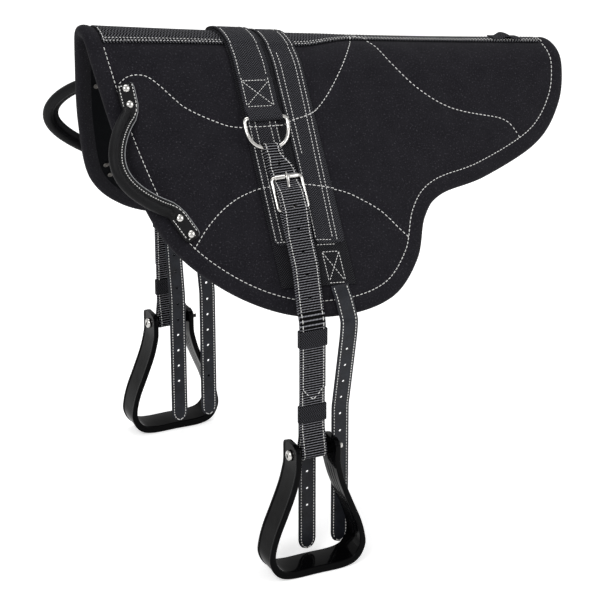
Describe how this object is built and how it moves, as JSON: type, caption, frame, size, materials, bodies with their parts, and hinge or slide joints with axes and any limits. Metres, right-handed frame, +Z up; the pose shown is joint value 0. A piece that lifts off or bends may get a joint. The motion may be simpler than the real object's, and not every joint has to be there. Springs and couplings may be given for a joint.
{
  "type": "bareback pad",
  "caption": "Padded bareback horse pad with ridge webbing, D-rings, adjustable buckled stirrup straps, moulded stirrups, punched billets and riveted hand holds.",
  "frame": {"origin": "on the lining under the ridge, in line with the centre of the front webbing", "axes": "+X towards the horse's tail, +Y towards the right (off) side, +Z up"},
  "size_m": [0.7591, 0.5724, 0.7486],
  "materials": {
    "black_suede": "brushed suede",
    "foam_filling": "foam and felt",
    "black_felt": "felt",
    "black_webbing": "ribbed weave",
    "grey_webbing": "ribbed weave",
    "black_leather": "smooth, edge-dyed",
    "black_plastic": "gloss moulded",
    "nickel": "polished nickel plate"
  },
  "bodies": {
    "pad": {"suede_cover": "black_suede", "foam_core": "foam_filling", "underside_lining": "black_felt", "edge_binding": "black_suede", "spine_strip": "grey_webbing", "crupper_loop": "black_webbing", "rigging_panel": "black_webbing", "front_webbing": "black_webbing", "rear_webbing": "black_webbing", "ring_webbing": "black_webbing", "left_handle": "black_leather", "right_handle": "black_leather", "left_upper_inner_rivet": "nickel", "left_upper_outer_rivet": "nickel", "left_lower_inner_rivet": "nickel", "left_lower_outer_rivet": "nickel", "right_upper_inner_rivet": "nickel", "right_upper_outer_rivet": "nickel", "right_lower_inner_rivet": "nickel", "right_lower_outer_rivet": "nickel", "left_front_billet_end": "black_leather", "left_rear_billet_end": "black_leather", "right_front_billet_end": "black_leather", "right_rear_billet_end": "black_leather"},
    "left_ring": {"left_d_ring": "nickel"},
    "left_strap": {"left_stirrup_strap": "black_webbing", "left_buckle_frame": "nickel"},
    "left_tongue": {"left_buckle_tongue": "nickel"},
    "left_roller": {"left_buckle_roller": "nickel"},
    "left_keeper_upper": {"left_upper_keeper": "black_webbing"},
    "left_keeper_lower": {"left_lower_keeper": "black_webbing"},
    "left_stirrup_body": {"left_stirrup": "black_plastic", "left_stirrup_bolt": "nickel", "left_bolt_nut": "nickel"},
    "left_sleeve": {"left_bolt_sleeve": "black_plastic"},
    "left_billet_front": {"left_front_billet": "black_leather"},
    "left_billet_rear": {"left_rear_billet": "black_leather"},
    "right_ring": {"right_d_ring": "nickel"},
    "right_strap": {"right_stirrup_strap": "black_webbing", "right_buckle_frame": "nickel"},
    "right_tongue": {"right_buckle_tongue": "nickel"},
    "right_roller": {"right_buckle_roller": "nickel"},
    "right_keeper_upper": {"right_upper_keeper": "black_webbing"},
    "right_keeper_lower": {"right_lower_keeper": "black_webbing"},
    "right_stirrup_body": {"right_stirrup": "black_plastic", "right_stirrup_bolt": "nickel", "right_bolt_nut": "nickel"},
    "right_sleeve": {"right_bolt_sleeve": "black_plastic"},
    "right_billet_front": {"right_front_billet": "black_leather"},
    "right_billet_rear": {"right_rear_billet": "black_leather"}
  },
  "joints": [
    {"name": "left_ring_hinge", "type": "hinge", "parent": "pad", "child": "left_ring", "pos_m": [0, -0.10843, -0.07818], "axis": [-0.9981, 0.0326, 0.0518], "range_deg": [0, 80]},
    {"name": "left_strap_hinge", "type": "hinge", "parent": "left_ring", "child": "left_strap", "pos_m": [-0.002, -0.13093, -0.11457], "axis": [-1, 0, 0], "range_deg": [0, 20]},
    {"name": "left_tongue_hinge", "type": "hinge", "parent": "left_strap", "child": "left_tongue", "pos_m": [0.0085, -0.18212, -0.18886], "axis": [1, 0, 0], "range_deg": [0, 4]},
    {"name": "left_roller_spin", "type": "hinge", "parent": "left_strap", "child": "left_roller", "pos_m": [0.0085, -0.15726, -0.15015], "axis": [-1, 0, 0], "continuous": true},
    {"name": "left_upper_keeper_slide", "type": "slide", "parent": "left_strap", "child": "left_keeper_upper", "axis": [0, 0, -1], "range_m": [0, 0.055]},
    {"name": "left_lower_keeper_slide", "type": "slide", "parent": "left_strap", "child": "left_keeper_lower", "axis": [0, 0, -1], "range_m": [-0.006, 0.006]},
    {"name": "left_stirrup_hinge", "type": "hinge", "parent": "left_strap", "child": "left_stirrup_body", "pos_m": [-0.002, -0.26316, -0.517], "axis": [-1, 0, 0], "range_deg": [0, 75]},
    {"name": "left_sleeve_spin", "type": "hinge", "parent": "left_stirrup_body", "child": "left_sleeve", "pos_m": [-0.002, -0.26316, -0.517], "axis": [-1, 0, 0], "continuous": true},
    {"name": "left_front_billet_hinge", "type": "hinge", "parent": "pad", "child": "left_billet_front", "pos_m": [0.003, -0.25493, -0.32428], "axis": [1, 0, 0], "range_deg": [0, 40]},
    {"name": "left_rear_billet_hinge", "type": "hinge", "parent": "pad", "child": "left_billet_rear", "pos_m": [0.054, -0.26133, -0.32685], "axis": [1, 0, 0], "range_deg": [0, 40]},
    {"name": "right_ring_hinge", "type": "hinge", "parent": "pad", "child": "right_ring", "pos_m": [0, 0.10843, -0.07818], "axis": [0.9981, 0.0326, -0.0518], "range_deg": [0, 80]},
    {"name": "right_strap_hinge", "type": "hinge", "parent": "right_ring", "child": "right_strap", "pos_m": [-0.002, 0.13093, -0.11457], "axis": [1, 0, 0], "range_deg": [0, 20]},
    {"name": "right_tongue_hinge", "type": "hinge", "parent": "right_strap", "child": "right_tongue", "pos_m": [0.0085, 0.18212, -0.18886], "axis": [-1, 0, 0], "range_deg": [0, 4]},
    {"name": "right_roller_spin", "type": "hinge", "parent": "right_strap", "child": "right_roller", "pos_m": [0.0085, 0.15726, -0.15015], "axis": [1, 0, 0], "continuous": true},
    {"name": "right_upper_keeper_slide", "type": "slide", "parent": "right_strap", "child": "right_keeper_upper", "axis": [0, 0, -1], "range_m": [0, 0.055]},
    {"name": "right_lower_keeper_slide", "type": "slide", "parent": "right_strap", "child": "right_keeper_lower", "axis": [0, 0, -1], "range_m": [-0.006, 0.006]},
    {"name": "right_stirrup_hinge", "type": "hinge", "parent": "right_strap", "child": "right_stirrup_body", "pos_m": [-0.002, 0.26316, -0.517], "axis": [1, 0, 0], "range_deg": [0, 75]},
    {"name": "right_sleeve_spin", "type": "hinge", "parent": "right_stirrup_body", "child": "right_sleeve", "pos_m": [-0.002, 0.26316, -0.517], "axis": [1, 0, 0], "continuous": true},
    {"name": "right_front_billet_hinge", "type": "hinge", "parent": "pad", "child": "right_billet_front", "pos_m": [0.003, 0.25493, -0.32428], "axis": [-1, 0, 0], "range_deg": [0, 40]},
    {"name": "right_rear_billet_hinge", "type": "hinge", "parent": "pad", "child": "right_billet_rear", "pos_m": [0.054, 0.26133, -0.32685], "axis": [-1, 0, 0], "range_deg": [0, 40]}
  ]
}
